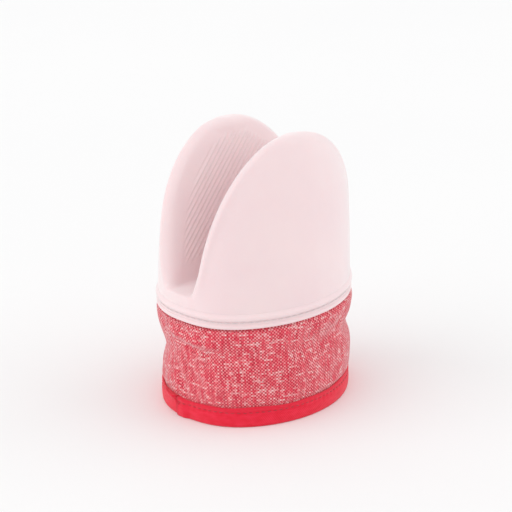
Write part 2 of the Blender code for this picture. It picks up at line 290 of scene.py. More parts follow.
def makeChambray(name, weave):
    # plain weave of dark upright yarns and pale cross yarns, which run thick and thin, with painted shade
    # where the threads dip between crossings
    material, tree, shader = startMaterial(name, weave["warp"], 0.9)
    across, along = clothPoint(tree)
    column, row = (mathNode(tree, "DIVIDE", side, weave["pitch"]) for side in (across, along))
    upright, cross = mathNode(tree, "FLOOR", column), mathNode(tree, "FLOOR", row)
    warpOver = mathNode(tree, "PINGPONG", addNodes(tree, upright, cross), 1.0)
    weftOver = mathNode(tree, "SUBTRACT", 1.0, warpOver)
    warpTint = stretchedNoise(tree, upright, along, 7.31, 120.0)
    weftTint = stretchedNoise(tree, across, cross, 260.0, 5.17, 3.0)
    speckle = cellNoise(tree, upright, cross)
    streaks = rangeNode(tree, stretchedNoise(tree, across, along, 1150.0, 120.0, 7.0), 0.47, 0.56)
    bands = rangeNode(tree, stretchedNoise(tree, across, along, 170.0, 26.0, 11.0), 0.4, 0.65)
    dark = timesNode(tree, streaks, weave["streaks"])
    dark = addNodes(tree, dark, timesNode(tree, bands, weave["bands"]))
    warpShare = rangeNode(tree, warpTint, 0.36, 0.64, 0.0, 0.6)
    warpShare = addNodes(tree, warpShare, timesNode(tree, speckle, 0.4))
    warpColour = mixColours(tree, warpShare, weave["warp"], weave["warpLight"])
    slub = rangeNode(tree, weftTint, 0.58, 0.66)
    weftShare = rangeNode(tree, weftTint, 0.34, 0.6, 0.0, 0.35)
    weftShare = addNodes(tree, weftShare, timesNode(tree, speckle, 0.65))
    weftShare = mathNode(tree, "MAXIMUM", weftShare, slub)
    weftColour = mixColours(tree, weftShare, weave["weft"], weave["weftLight"])
    weftColour = mixColours(tree, dark, weftColour, weave["weftDeep"])
    onTop = mixColours(tree, warpOver, weftColour, warpColour)
    onTop = mixColours(tree, timesNode(tree, slub, weave["slubs"]), onTop, weave["slub"])
    warpCrown, weftCrown = threadCrown(tree, column), threadCrown(tree, row)
    height = timesNode(tree, slub, 0.3)
    for own, other, over in ((warpCrown, weftCrown, warpOver), (weftCrown, warpCrown, weftOver)):
        swell = addNodes(tree, timesNode(tree, other, 0.5), 0.3)
        height = addNodes(tree, height, timesNode(tree, timesNode(tree, own, swell), over))
    # painted shade: the colour darkens where the thread crowns fall away, down to the weave's gap shade
    # between them
    shade = rangeNode(tree, height, 0.0, 0.5, weave["gapShade"], 1.0)
    feed(tree, shader.inputs["Base Color"], shadeColour(tree, onTop, shade))
    shader.inputs["Sheen Weight"].default_value = weave["sheen"]
    shader.inputs["Sheen Roughness"].default_value = 0.4
    shader.inputs["Specular IOR Level"].default_value = 0.15
    bumpNode(tree, shader, height, weave["relief"])
    return material


def makeTwill(name, colour, light, pitch):
    # twill tape: slanted ribs across the tape, with fine threads in them, and painted shade in the grooves
    # between them
    material, tree, shader = startMaterial(name, colour, 0.8)
    across, along = clothPoint(tree)
    rib = threadCrown(tree, mathNode(tree, "DIVIDE", addNodes(tree, across, along), pitch))
    thread = threadCrown(tree, timesNode(tree, across, 1.6 / pitch))
    height = addNodes(tree, rib, timesNode(tree, thread, 0.35))
    tint = stretchedNoise(tree, across, along, 260.0, 900.0, detail=2.0)
    base = mixColours(tree, rangeNode(tree, tint, 0.3, 0.72), colour, light)
    # painted shade: the colour darkens to 0.72 of itself in the grooves between the ribs and threads
    shade = rangeNode(tree, height, 0.0, 0.9, 0.72, 1.0)
    feed(tree, shader.inputs["Base Color"], shadeColour(tree, base, shade))
    shader.inputs["Sheen Weight"].default_value = 0.2
    shader.inputs["Specular IOR Level"].default_value = 0.2
    bumpNode(tree, shader, height, 0.00008)
    return material


def makeThread(name, colour):
    # spun thread: a slanted twist with painted shade in its grooves, and a little fuzz
    material, tree, shader = startMaterial(name, colour, 0.7)
    x, y, z = splitVector(tree, objectPoint(tree))
    along = addNodes(tree, addNodes(tree, x, y), z)
    twist = mathNode(tree, "SINE", timesNode(tree, along, 14000.0))
    # painted shade: a copy of the thread colour at 0.72 fills the low side of the twist
    dark = tuple(channel * 0.72 for channel in colour)
    share = rangeNode(tree, twist, -1.0, 1.0)
    feed(tree, shader.inputs["Base Color"], mixColours(tree, share, dark, colour))
    shader.inputs["Sheen Weight"].default_value = 0.3
    bumpNode(tree, shader, twist, 0.00003)
    return material


def makeWadding():
    # matted white fibre
    material, tree, shader = startMaterial("fibreWadding", (0.86, 0.85, 0.83), 1.0)
    point = objectPoint(tree)
    fibre = noiseNode(tree, point, 900.0, 4.0, 0.7)
    feed(tree, shader.inputs["Base Color"], mixColours(tree, fibre, (0.78, 0.77, 0.74), (0.92, 0.91, 0.89)))
    bumpNode(tree, shader, fibre, 0.0003)
    return material


clothWeave = {
    "pitch": 0.00073,  # one thread to the next
    "warp": (0.46, 0.004, 0.025),
    "warpLight": (0.80, 0.04, 0.08),
    "weft": (0.92, 0.11, 0.15),
    "weftLight": (1.0, 0.64, 0.64),
    "weftDeep": (0.80, 0.03, 0.07),
    "slub": (1.0, 0.80, 0.77),
    "streaks": 0.65,
    "bands": 0.16,
    "slubs": 0.30,
    # how dark the painted shade between the threads goes
    "gapShade": 0.84,
    "sheen": 0.55,
    "relief": 0.00016,
}
liningWeave = {
    "pitch": 0.0006,
    "warp": (0.78, 0.73, 0.65),
    "warpLight": (0.84, 0.80, 0.73),
    "weft": (0.82, 0.78, 0.71),
    "weftLight": (0.88, 0.84, 0.78),
    "weftDeep": (0.76, 0.71, 0.63),
    "slub": (0.90, 0.87, 0.82),
    "streaks": 0.3,
    "bands": 0.25,
    "slubs": 0.6,
    # how dark the painted shade between the threads goes
    "gapShade": 0.80,
    "sheen": 0.2,
    "relief": 0.0001,
}
paleSilicone = makeSilicone()
redChambray = makeChambray("redChambray", clothWeave)
creamCotton = makeChambray("creamCotton", liningWeave)
redTwill = makeTwill("redTwill", (0.81, 0.012, 0.038), (0.90, 0.028, 0.068), 0.00085)
redThread = makeThread("redThread", (0.60, 0.012, 0.03))
pinkThread = makeThread("pinkThread", (0.90, 0.79, 0.80))
fibreWadding = makeWadding()


lean = {  # the finger side's shift along X: at the hem, then what is added at the base and at the tip
    "hem": -0.0022,
    "base": -0.0014,
    "baseLow": 0.012,
    "baseHigh": 0.044,
    "tip": 0.0044,
    "tipLow": 0.058,
    "tipHigh": 0.116,
    "reach": 0.028,  # how far from the middle plane it is all there
}


def leanShape(points):
    # the finger side stands a little askew: its hem and base sit towards -X, its tip towards +X
    x, y, z = points.T
    front = smoothStep(0.0, lean["reach"], -y)
    shift = lean["hem"] + lean["base"] * smoothStep(lean["baseLow"], lean["baseHigh"], z)
    shift = shift + lean["tip"] * smoothStep(lean["tipLow"], lean["tipHigh"], z)
    return np.stack([x + front * shift, y, z], 1)


def dress(piece, material, slot, *nodes):
    writePoints(piece, leanShape(readPoints(piece)))
    piece.data.materials.clear()
    piece.data.materials.append(material)
    if nodes:
        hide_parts(*nodes)


print("materials ready")


# silicone: two lobes with ribbed grip faces, joined by the valley
rimLow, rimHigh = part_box("silicone_rim")
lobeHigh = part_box("thumb_lobe_shell")[1]
silicone = {
    "bead": 0.0010,  # how far the rim's beads stand out from the body
    "height": lobeHigh.z,
    "domeStart": rimLow.z + 0.0040,
    "archPower": 3.3,
    "archRoot": 2.96,
    "tipDepth": 0.0240,
    "depthPower": 1.55,
    "depthRoot": 1.40,
    "slotGap": 0.0046,
    "tipGap": 0.0152,
    "edge": 0.0036,  # rounding of the lobes' edges
    "valley": rimHigh.z,
    "voxel": 0.0005,
    "wall": 0.0016,
    "skirt": rimLow.z + 0.0052,  # the lobes' lower edge, behind the upper bead
    "faceWidth": 0.0390,  # the flat grip face is a smaller arch inside the lobe's outline
    "faceTop": 0.1125,
    "faceArch": (2.1, 1.6),  # power and root of the arch
    "rollDepth": 0.0036,
    "rollPower": 1.4,
    "ribWidth": 0.0368,
    "ribTop": 0.1148,
    "ribArch": (2.6, 1.8),
    "ribPitch": 0.0021,
    "ribHeight": 0.00056,
    "ribStart": rimHigh.z + 0.0075,
    "bendLow": 0.0015,  # the bend's start and end above the valley, and how far the end is to the side
    "bendHigh": 0.0150,
    "bendAside": 0.0024,
}
silicone["halfWidth"] = rimHigh.x - silicone["bead"]
silicone["halfDepth"] = rimHigh.y - silicone["bead"]


def domeShare(z):
    return np.clip((z - silicone["domeStart"]) / (silicone["height"] - silicone["domeStart"]), 0, 1)


def slotHalfGap(z):
    return silicone["slotGap"] + (silicone["tipGap"] - silicone["slotGap"]) * domeShare(z)


def outerDepth(z):
    fall = (1 - domeShare(z) ** silicone["depthPower"]) ** (1 / silicone["depthRoot"])
    return silicone["tipDepth"] + (silicone["halfDepth"] - silicone["tipDepth"]) * fall


def archHalfWidth(z):
    fall = (1 - domeShare(z) ** silicone["archPower"]) ** (1 / silicone["archRoot"])
    return silicone["halfWidth"] * fall


def lobeLoop(z, inset=0.0, drop=0.0, count=161):
    # a level cut through the +Y lobe, as points a constant distance apart; inset and drop shrink it
    edge = max(silicone["edge"], inset + 0.001)
    reach = edge - inset
    top = silicone["height"] - drop
    over = max(0.0, (z - (top - reach)) / reach)
    stretched = silicone["domeStart"] + (z - silicone["domeStart"]) * (
        silicone["height"] - silicone["domeStart"]) / (top - silicone["domeStart"])
    halfWidth = float(archHalfWidth(min(stretched, silicone["height"])))
    halfWidth *= 1 - inset / silicone["halfWidth"]
    radius = min(reach * math.sqrt(max(0.0, 1 - over**2)), 0.9 * halfWidth)
    coreWidth, coreDepth = halfWidth - radius, float(outerDepth(z)) - edge
    coreFront = float(slotHalfGap(z)) + edge
    corner = math.asin(min(0.999, coreFront / coreDepth))
    angle = np.linspace(corner, math.pi - corner, 120)
    outer = ovalPoints(coreWidth, coreDepth, radius, angle, 0.0)[:, :2]
    turn = math.atan2(math.sin(corner) * coreWidth, math.cos(corner) * coreDepth)
    bend = np.linspace(turn, -math.pi / 2, 14)[1:]
    sideX = coreWidth * math.cos(corner)
    bendX, bendY = sideX + radius * np.cos(bend), coreFront + radius * np.sin(bend)
    left, right = np.stack([-bendX, bendY], 1), np.stack([bendX, bendY], 1)[::-1]
    loop = np.concatenate([outer, left, right, outer[:1]])
    steps = np.concatenate([[0.0], np.cumsum(np.linalg.norm(np.diff(loop, axis=0), axis=1))])
    spot = np.linspace(0, steps[-1], count)
    return np.stack([np.interp(spot, steps, loop[:, 0]), np.interp(spot, steps, loop[:, 1]),
                     np.full(count, z)], 1)


def lobeLevels(low, high, count):
    # levels that crowd together towards the tip
    share = np.linspace(0, 1, count)
    return low + (high - low) * (1 - (1 - share) ** 1.9)


def closeEnds():
    bpy.ops.mesh.select_all(action="DESELECT")
    bpy.ops.mesh.select_non_manifold()
    bpy.ops.mesh.fill_holes(sides=0)
    bpy.ops.mesh.select_all(action="SELECT")
    bpy.ops.mesh.normals_make_consistent(inside=False)


def addLobe(name, side, base):
    levels = lobeLevels(base, silicone["height"] - 0.00003, 90)
    points = np.stack([lobeLoop(z) for z in levels])
    points[..., 1] *= side
    piece = wrapGrid(name, points)
    editWhole(piece, closeEnds)
    return piece


def blendToLobe(piece):
    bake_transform(piece)


sides = (("finger", -1), ("thumb", 1))


def addValley(base):
    # the oval body under the slot, up to the valley's floor
    angle = np.linspace(0, fullTurn, 201)
    levels = np.linspace(base, silicone["valley"], 8)
    rows = [ovalPoints(float(archHalfWidth(z)), float(outerDepth(z)), 0.0, angle, z) for z in levels]
    piece = wrapGrid("valley", np.stack(rows))
    editWhole(piece, closeEnds)
    return piece


def smallArch(z, width, top, power, root):
    share = np.clip((z - silicone["domeStart"]) / (top - silicone["domeStart"]), 0, 1)
    return width * (1 - share ** power) ** (1 / root)


def shapeGrip(piece):
    # the grip faces: their edges roll back softly, and straight slanting ribs cross the middle
    points = readPoints(piece)
    x, y, z = points.T
    depth = np.abs(y) - slotHalfGap(z)
    chord = archHalfWidth(z) * np.sqrt(np.clip(1 - (slotHalfGap(z) / outerDepth(z)) ** 2, 0, 1))
    low, high = np.zeros(len(z)), np.ones(len(z))
    for _ in range(18):  # how far out each point lies between the face's arch and the outline
        middle = (low + high) / 2
        top = silicone["faceTop"] + (silicone["height"] - silicone["faceTop"]) * middle
        inner = smallArch(z, silicone["faceWidth"], top, *silicone["faceArch"])
        within = np.abs(x) < inner + (np.maximum(chord, inner) - inner) * middle
        low, high = np.where(within, low, middle), np.where(within, middle, high)
    away = np.where(high < 0.001, 0.0, high)
    nearFace = 1 - smoothStep(0.001, 0.010, depth)
    aboveValley = smoothStep(silicone["valley"] - 0.002, silicone["valley"] + 0.012, z)
    roll = silicone["rollDepth"] * away ** silicone["rollPower"] * nearFace * aboveValley
    ribHalf = smallArch(z, silicone["ribWidth"], silicone["ribTop"], *silicone["ribArch"])
    inside = smoothStep(0.0, 0.0022, ribHalf - np.abs(x))
    above = smoothStep(silicone["ribStart"], silicone["ribStart"] + 0.004, z)
    below = smoothStep(0.0, 0.0016, silicone["ribTop"] - z)
    onFace = 1 - smoothStep(0.0006, 0.0016, np.abs(depth))
    wave = 0.5 + 0.5 * np.cos(fullTurn * (z - x) / (math.sqrt(2) * silicone["ribPitch"]))
    lift = silicone["ribHeight"] * (wave - 0.4) * onFace * inside * above * below
    points[:, 1] += np.sign(y) * (roll - lift)
    writePoints(piece, points)


def keepSide(piece, point, normal):
    pickPiece(piece)
    bpy.ops.object.mode_set(mode="EDIT")
    bpy.ops.mesh.select_all(action="SELECT")
    bpy.ops.mesh.bisect(plane_co=point, plane_no=normal, clear_inner=True, threshold=1e-7)
    bpy.ops.object.mode_set(mode="OBJECT")


def joinPieces(pieces, name):
    pickPiece(pieces[0])
    for piece in pieces[1:]:
        piece.select_set(True)
    bpy.ops.object.join()
    pieces[0].name = pieces[0].data.name = name
    return pieces[0]


def copyPiece(piece, name):
    copy = piece.copy()
    copy.data = piece.data.copy()
    copy.name = copy.data.name = name
    bpy.context.scene.collection.objects.link(copy)
    return copy


def makeSiliconeBody():
    base = silicone["skirt"] - 0.003
    body = addValley(base)
    lobes = [addLobe("lobe", side, base) for side in (-1, 1)]
    joinPieces([body, *lobes], "body")
    body.data.remesh_voxel_size = silicone["voxel"]
    pickPiece(body)
    bpy.ops.object.voxel_remesh()
    points = readPoints(body)
    nearFloor = np.flatnonzero((np.abs(points[:, 1]) < 0.010) & (points[:, 2] > silicone["valley"] - 0.003)
                               & (points[:, 2] < silicone["valley"] + 0.004))
    group = body.vertex_groups.new(name="valleyFillet")
    group.add(nearFloor.tolist(), 1.0, "REPLACE")
    applyModifier(body, "SMOOTH", factor=0.5, iterations=26, vertex_group="valleyFillet")
    applyModifier(body, "SMOOTH", factor=0.5, iterations=5)
    shapeGrip(body)
    keepSide(body, (0, 0, silicone["skirt"]), (0, 0, 1))
    return body


def makeSiliconeHalves():
    body = makeSiliconeBody()
    for word, side in sides:
        half = copyPiece(body, f"{word}Silicone")
        keepSide(half, (0, 0, 0), (0, side, 0))
        applyModifier(half, "SOLIDIFY", thickness=silicone["wall"], offset=-1.0, use_rim=True)
        softShade(half)
        dress(half, paleSilicone, "silicone", f"{word}_lobe_shell")
        blendToLobe(half)
    bpy.data.objects.remove(body)


makeSiliconeHalves()
print("silicone lobes ready")


# rim: the band with its two beads, and the seam in its groove
rim = {
    "bottom": rimLow.z,
    "lowerBead": rimLow.z + 0.00095,
    "upperBead": rimLow.z + 0.0048,
    "lowerRadius": 0.00100,
    "upperRadius": 0.00120,
    "top": rimLow.z + 0.0066,
    "inner": -0.0018,
    "groove": rimLow.z + 0.0029,
    "stitchLength": 0.0030,
    "stitchPitch": 0.0033,
    "stitchRadius": 0.00019,
    "stitchOutset": 0.00020,
    "innerShrink": 0.0023,  # the inner row's oval is smaller, and its stitches stand inside it
    "innerOutset": -0.0042,
}


def rimProfile():
    def beadArc(middle, radius, start, end, steps):
        angle = np.radians(np.linspace(start, end, steps))
        return np.stack([radius * np.cos(angle) - 0.00015, middle + radius * np.sin(angle)], 1)

    lower = beadArc(rim["lowerBead"], rim["lowerRadius"], -88, 75, 13)
    groove, bead, top, inside = rim["groove"], rim["upperBead"], rim["top"], rim["inner"]
    dip = np.array([[0.00004, groove - 0.0007], [-0.00006, groove], [0.00004, groove + 0.0006]])
    upper = beadArc(bead, rim["upperRadius"], -72, 56, 13)
    tail = np.array([[0.00030, bead + 0.00140], [0.00008, top - 0.0002], [-0.0005, top]])
    inner = np.array([[inside, top], [inside, groove], [inside, rim["bottom"] + 0.0002],
                      [inside + 0.0003, rim["bottom"] - 0.00004]])
    return np.concatenate([lower, dip, upper, tail, inner, lower[:1]])


def makeRim():
    width, depth = silicone["halfWidth"], silicone["halfDepth"]
    angles, length = evenAngles(width, depth, 361)
    rows = [ovalPoints(width, depth, outset, angles, z) for outset, z in rimProfile()]
    piece = wrapGrid("siliconeRim", np.stack(rows), (length, 0.02))
    softShade(piece)
    dress(piece, paleSilicone, "silicone", "silicone_rim")
    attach(piece, "cuff")


threadShape = {
    "bluntness": 0.75,
    "sink": 0.00030,  # how far a stitch's ends go down into the cloth
    "tilt": 0.00010,
}


def makeStitches(name, halfWidth, halfDepth, outset, z, stitch):
    # one stitch is modelled and copied round the oval, each copy turned along it
    count = int(round(evenAngles(halfWidth, halfDepth, 2)[1] / stitch["stitchPitch"]))
    angles, _ = evenAngles(halfWidth, halfDepth, count * 2 + 1)
    deselectAll()
    bpy.ops.mesh.primitive_uv_sphere_add(segments=6, ring_count=6, radius=1.0)
    one = bpy.context.object
    shape = readPoints(one)[:, [2, 0, 1]]
    shape = np.sign(shape) * np.abs(shape) ** np.array([threadShape["bluntness"], 1.0, 1.0])
    shape *= np.array([stitch["stitchLength"] / 2, stitch["stitchRadius"], stitch["stitchRadius"]])
    shape[:, 1] -= threadShape["sink"] * (shape[:, 0] / (stitch["stitchLength"] / 2)) ** 4
    pieces = []
    for k in range(count):
        angle = angles[2 * k + 1]
        lift = outset(angle) if callable(outset) else outset
        middle = ovalPoints(halfWidth, halfDepth, lift, angle, z)
        ahead = ovalPoints(halfWidth, halfDepth, lift, angle + 0.01, z) - middle
        ahead /= np.linalg.norm(ahead)
        outward = np.array([ahead[1], -ahead[0], 0.0])
        tilt = threadShape["tilt"] * (-1) ** k
        copy = copyPiece(one, name)
        points = middle + shape[:, :1] * ahead + shape[:, 1:2] * outward
        points[:, 2] += shape[:, 2] + tilt * shape[:, 0] / stitch["stitchLength"]
        writePoints(copy, points)
        pieces.append(copy)
    bpy.data.objects.remove(one)
    joined = joinPieces(pieces, name)
    editWhole(joined, faceOutwards)
    softShade(joined, 80)
    return joined


def makeRimSeam():
    outer = makeStitches("rimSeamOuter", silicone["halfWidth"], silicone["halfDepth"], rim["stitchOutset"],
                         rim["groove"], rim)
    dress(outer, pinkThread, "pink_thread", "rim_seam_outer")
    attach(outer, "cuff")


makeRim()
makeRimSeam()
print("rim ready")


# cuff: chambray over wadding, drawn in at a slanting waist
clothLow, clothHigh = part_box("cuff_cloth")
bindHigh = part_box("hem_binding")[1]
cuff = {
    "hemWidth": 0.0443,
    "hemDepth": 0.0371,
    "bottom": clothLow.z,
    "top": rimLow.z + 0.0035,
    "tuck": -0.0021,  # where the cloth runs up behind the rim
    "bulge": 0.0003,
    "bulgeZ": rimLow.z - 0.0030,
    "waist": (  # degrees round the cuff, then the waist's height, its depth and its reach up and down
        (0, 0.0320, 0.0013, 0.0060),
        (60, 0.0290, 0.0016, 0.0070),
        (110, 0.0262, 0.0030, 0.0072),
        (141, 0.0252, 0.0039, 0.0068),
        (168, 0.0275, 0.0022, 0.0068),
        (205, 0.0310, 0.0010, 0.0060),
        (260, 0.0330, 0.0006, 0.0050),
        (300, 0.0308, 0.0024, 0.0050),
        (322, 0.0296, 0.0037, 0.0058),
        (342, 0.0300, 0.0027, 0.0060),
    ),
    "foldAt": 192,
    "foldSpan": 24,
    "foldZ": 0.0364,
    "foldHeight": 0.0018,
    "foldReach": (0.0026, 0.0014),  # above and below its crest
    "creaseZ": 0.0334,
    "creaseDepth": 0.0014,
    "creaseReach": 0.0016,
    "creaseSlope": 0.0001,  # for each degree
    "seamAt": 170,
    "seamSpan": 1.3,
    "seamDepth": 0.00035,
    "columns": 217,
    "rows": 57,
    "thickness": 0.0007,
    "pinnedBelow": bindHigh.z + 0.0002,
    "pinnedAbove": rimLow.z - 0.0008,
    "frames": 14,
    "spare": -0.022,
    "mostMove": 0.0014,
    "waddingStart": bindHigh.z + 0.0018,
    "waddingTop": clothHigh.z - 0.0004,
    "waddingGap": 0.0002,  # between the cloth and the wadding
    "waddingInner": 0.0031,
    "waddingFill": 0.4,
    "quilt": 0.00022,
    "liningGap": 0.0003,
    "liningStep": 0.0024,  # how much further in the lining lies over the wadding
    "liningThickness": 0.0006,
    "liningFlat": (0.262, 0.050),
    "seamHalf": 0.0070,
    "flapEdge": 0.0004,
    "flapSwell": 0.0009,
}


def aroundCuff(angle, item):
    # one of the waist's values at an angle, eased between the places where it is set
    places = [math.radians(place[0]) for place in cuff["waist"]]
    values = [place[item] for place in cuff["waist"]]
    fine = np.linspace(0, fullTurn, 361)
    line = np.interp(fine, places, values, period=fullTurn)[:-1]
    soft = np.exp(-(np.arange(-30, 31) / 12.0) ** 2)
    line = np.convolve(np.concatenate([line[-30:], line, line[:30]]), soft / soft.sum(), "valid")
    return np.interp(angle, fine, np.append(line, line[0]), period=fullTurn)


def waistOutset(angle, z):
    # how far the cloth draws in at its slanting waist, and the soft fold above it on the seam's side
    middle, depth, reach = (aroundCuff(angle, item) for item in (1, 2, 3))
    main = -depth * np.exp(-((z - middle) / reach) ** 2)
    degrees = np.degrees(angle) % 360
    along = np.exp(-((degrees - cuff["foldAt"]) / cuff["foldSpan"]) ** 2)
    up = z - cuff["foldZ"]
    ridge = cuff["foldHeight"] * np.exp(-(up / np.where(up > 0, *cuff["foldReach"])) ** 2)
    low = z - cuff["creaseZ"] + cuff["creaseSlope"] * (degrees - cuff["foldAt"])
    ridge = ridge - cuff["creaseDepth"] * np.exp(-(low / cuff["creaseReach"]) ** 2)
    seam = np.exp(-((degrees - cuff["seamAt"]) / cuff["seamSpan"]) ** 2)
    return main + ridge * along - cuff["seamDepth"] * seam


def cuffPoint(angle, z, inset=0.0):
    # the cloth's outer face before it settles, from the hem up behind the rim
    bodyShare = np.clip((z - cuff["pinnedBelow"]) / (cuff["bulgeZ"] - cuff["pinnedBelow"]), 0, 1)
    halfWidth = cuff["hemWidth"] + (silicone["halfWidth"] - cuff["hemWidth"]) * bodyShare
    halfDepth = cuff["hemDepth"] + (silicone["halfDepth"] - cuff["hemDepth"]) * bodyShare
    outset = cuff["bulge"] * bodyShare
    above = smoothStep(cuff["pinnedBelow"], cuff["pinnedBelow"] + 0.005, z)
    outset = outset + waistOutset(angle, z) * above
    tuckShare = smoothStep(rimLow.z - 0.0016, rimLow.z + 0.0004, z)
    outset = outset + (cuff["tuck"] - outset) * tuckShare
    return ovalPoints(halfWidth, halfDepth, outset - inset, angle, z)


def settleCloth(piece, held, settings):
    # the cloth is a little longer than its place, so between its seams it settles into soft folds
    start = readPoints(piece)
    group = piece.vertex_groups.new(name="sewn")
    group.add(np.flatnonzero(held).tolist(), 1.0, "REPLACE")
    cloth = piece.modifiers.new("settle", "CLOTH")
    cloth.settings.vertex_group_mass = "sewn"
    cloth.settings.quality = 6
    cloth.settings.mass = 0.15
    cloth.settings.tension_stiffness = 12.0
    cloth.settings.compression_stiffness = 12.0
    cloth.settings.bending_stiffness = 0.8
    cloth.settings.shrink_min = settings["spare"]
    cloth.settings.effector_weights.gravity = 0.0
    cloth.settings.use_pressure = True
    cloth.settings.uniform_pressure_force = 1.2
    cloth.collision_settings.use_collision = False
    cloth.point_cache.frame_start = 1
    cloth.point_cache.frame_end = settings["frames"]
    for step in range(1, settings["frames"] + 1):
        bpy.context.scene.frame_set(step)
    pickPiece(piece)
    bpy.ops.object.modifier_apply(modifier=cloth.name)
    moved = readPoints(piece) - start
    far = np.linalg.norm(moved, axis=1, keepdims=True)
    share = np.minimum(1.0, settings["mostMove"] / np.maximum(far, 1e-9))
    writePoints(piece, start + moved * share)
    bpy.context.scene.frame_set(1)
    print(f"{piece.name} settled, moving up to {far.max() * 1000:.1f} mm")


def makeCuffCloth():
    angles, length = evenAngles(cuff["hemWidth"], cuff["hemDepth"], cuff["columns"])
    levels = np.linspace(cuff["bottom"], cuff["top"], cuff["rows"])
    table = np.stack([cuffPoint(angles, z) for z in levels])
    piece = wrapGrid("cuffCloth", table, (length, cuff["top"] - cuff["bottom"]))
    heights = readPoints(piece)[:, 2]
    order = matchPoints(readPoints(piece), table)
    settleCloth(piece, (heights < cuff["pinnedBelow"]) | (heights > cuff["pinnedAbove"]), cuff)
    table = readPoints(piece)[order]
    applyModifier(piece, "SUBSURF", levels=1, render_levels=1)
    applyModifier(piece, "SOLIDIFY", thickness=cuff["thickness"], offset=-1.0, use_rim=True)
    softShade(piece, 60)
    dress(piece, redChambray, "cuff_cloth", "cuff_cloth")
    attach(piece, "cuff")
    return table, angles


def matchPoints(points, table):
    # for every place in the table, the mesh point that stands there
    tree = KDTree(len(points))
    for index, point in enumerate(points):
        tree.insert(point, index)
    tree.balance()
    flat = [tree.find(place)[1] for place in table.reshape(-1, 3)]
    return np.array(flat).reshape(table.shape[:2])


def insideOf(table, inset):
    # the same surface, moved in towards the hand along its own normals
    around = np.roll(table[:, :-1], -1, axis=1) - np.roll(table[:, :-1], 1, axis=1)
    around = np.concatenate([around, around[:, :1]], axis=1)
    upward = np.gradient(table, axis=0)
    normal = np.cross(around, upward)
    normal /= np.linalg.norm(normal, axis=2, keepdims=True)
    return table - normal * (inset[..., None] if hasattr(inset, "shape") else inset)


def layerOf(name, table, outer, inner, rows, columns, size):
    # a closed pad or strip between two insets, over some of the table's rows and columns
    outside = insideOf(table, outer)[rows[0]:rows[1], columns[0]:columns[1]]
    within = insideOf(table, inner)[rows[0]:rows[1], columns[0]:columns[1]]
    loop = np.concatenate([outside, within[::-1], outside[:1]])
    piece = wrapGrid(name, loop, size)
    editWhole(piece, closeEnds)
    return piece


def makeCuffInside(table, angles):
    levels = np.linspace(cuff["bottom"], cuff["top"], cuff["rows"])
    low = int(np.searchsorted(levels, cuff["waddingStart"]))
    count = cuff["columns"]
    length = evenAngles(cuff["hemWidth"], cuff["hemDepth"], 2)[1]
    gap = int(round(cuff["seamHalf"] / (length / count))) + 1
    half = count // 2
    rise = smoothStep(bindHigh.z, cuff["waddingStart"], levels)[:, None]
    quilt = cuff["quilt"] * np.sin(levels[:, None] * 900) * np.sin(angles[None, :] * 34)
    for name, node, start, stop in (("frontWadding", "cuff_wadding_front", gap, half - gap),
                                    ("backWadding", "cuff_wadding_back", half + gap, count - gap)):
        outer = cuff["thickness"] + cuff["waddingGap"]
        piece = layerOf(name, table, outer, cuff["waddingInner"] + quilt,
                        (low, cuff["rows"] - 1), (start, stop), (0.11, 0.08))
        softShade(piece, 60)
        dress(piece, fibreWadding, "wadding", node)
        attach(piece, "cuff")
    outer = cuff["thickness"] + cuff["liningGap"] + cuff["liningStep"] * rise + quilt * rise
    lining = layerOf("cuffLining", table, outer, outer + cuff["liningThickness"],
                     (0, cuff["rows"] - 1), (0, count), (0.25, 0.096))
    softShade(lining, 60)
    dress(lining, creamCotton, "lining", "cuff_lining")
    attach(lining, "cuff")
    makeSeamFlaps("cuffSeamFlaps", "cuff_seam_allowance", table, 0, gap - 1,
                  redChambray, "cuff_cloth", 0.0009)
    makeSeamFlaps("liningSeamFlaps", "lining_seam_allowance", table, half, gap - 1,
                  creamCotton, "lining", 0.0018)


def makeSeamFlaps(name, node, table, middle, reach, material, slot, outer):
    # the two turned-in edges of a side seam, pressed apart with a groove between them
    shifted = np.concatenate([table[:, :-1], table[:, :-1]], axis=1)
    start = middle - reach + (table.shape[1] - 1 if middle < reach else 0)
    shifted = shifted[:, start:start + 2 * reach + 1]
    across = np.abs(np.arange(-reach, reach + 1)) / reach
    levels = shifted[:, reach, 2]
    rows = (levels > cuff["waddingStart"]) & (levels < cuff["waddingTop"])
    swell = smoothStep(0.02, 0.3, across) * (1 - smoothStep(0.85, 1.0, across) * 0.6)
    thick = cuff["flapEdge"] + cuff["flapSwell"] * swell
    normal = shifted[:, reach] * np.array([1.0, 1.0, 0.0])
    normal /= np.linalg.norm(normal, axis=1, keepdims=True)
    outside = shifted - normal[:, None] * outer
    within = shifted - normal[:, None] * (outer + thick[None, :, None])
    loop = np.concatenate([outside[rows], within[rows][::-1], outside[rows][:1]])
    piece = wrapGrid(name, loop, (2 * cuff["seamHalf"], 0.08))
    editWhole(piece, closeEnds)
    softShade(piece, 60)
    dress(piece, material, slot, node)
    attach(piece, "cuff")


cuffTable, cuffAngles = makeCuffCloth()
makeCuffInside(cuffTable, cuffAngles)
print("cuff ready")


# pockets: a quilted lining and its wadding in each lobe, and the strip between them
pocket = {
    "waddingInset": 0.0021,
    "waddingDrop": 0.0036,
    "liningInset": 0.0043,
    "liningDrop": 0.0080,
    "waddingThickness": 0.0017,
    "liningThickness": 0.0006,
    "waddingBase": rimHigh.z - 0.0030,
    "liningBase": rimHigh.z - 0.0052,
    "flare": 0.0016,
    "wave": 0.00028,
    "flat": (0.19, 0.062),
    "flatArea": 0.0098,  # the flat piece is cut to an arch
    "saddleHalf": 0.0088,
    "saddleLength": 0.080,
    "saddleDrop": 0.0056,
    "saddleTurnUp": 0.0026,
    "saddleRipple": 0.00018,
}


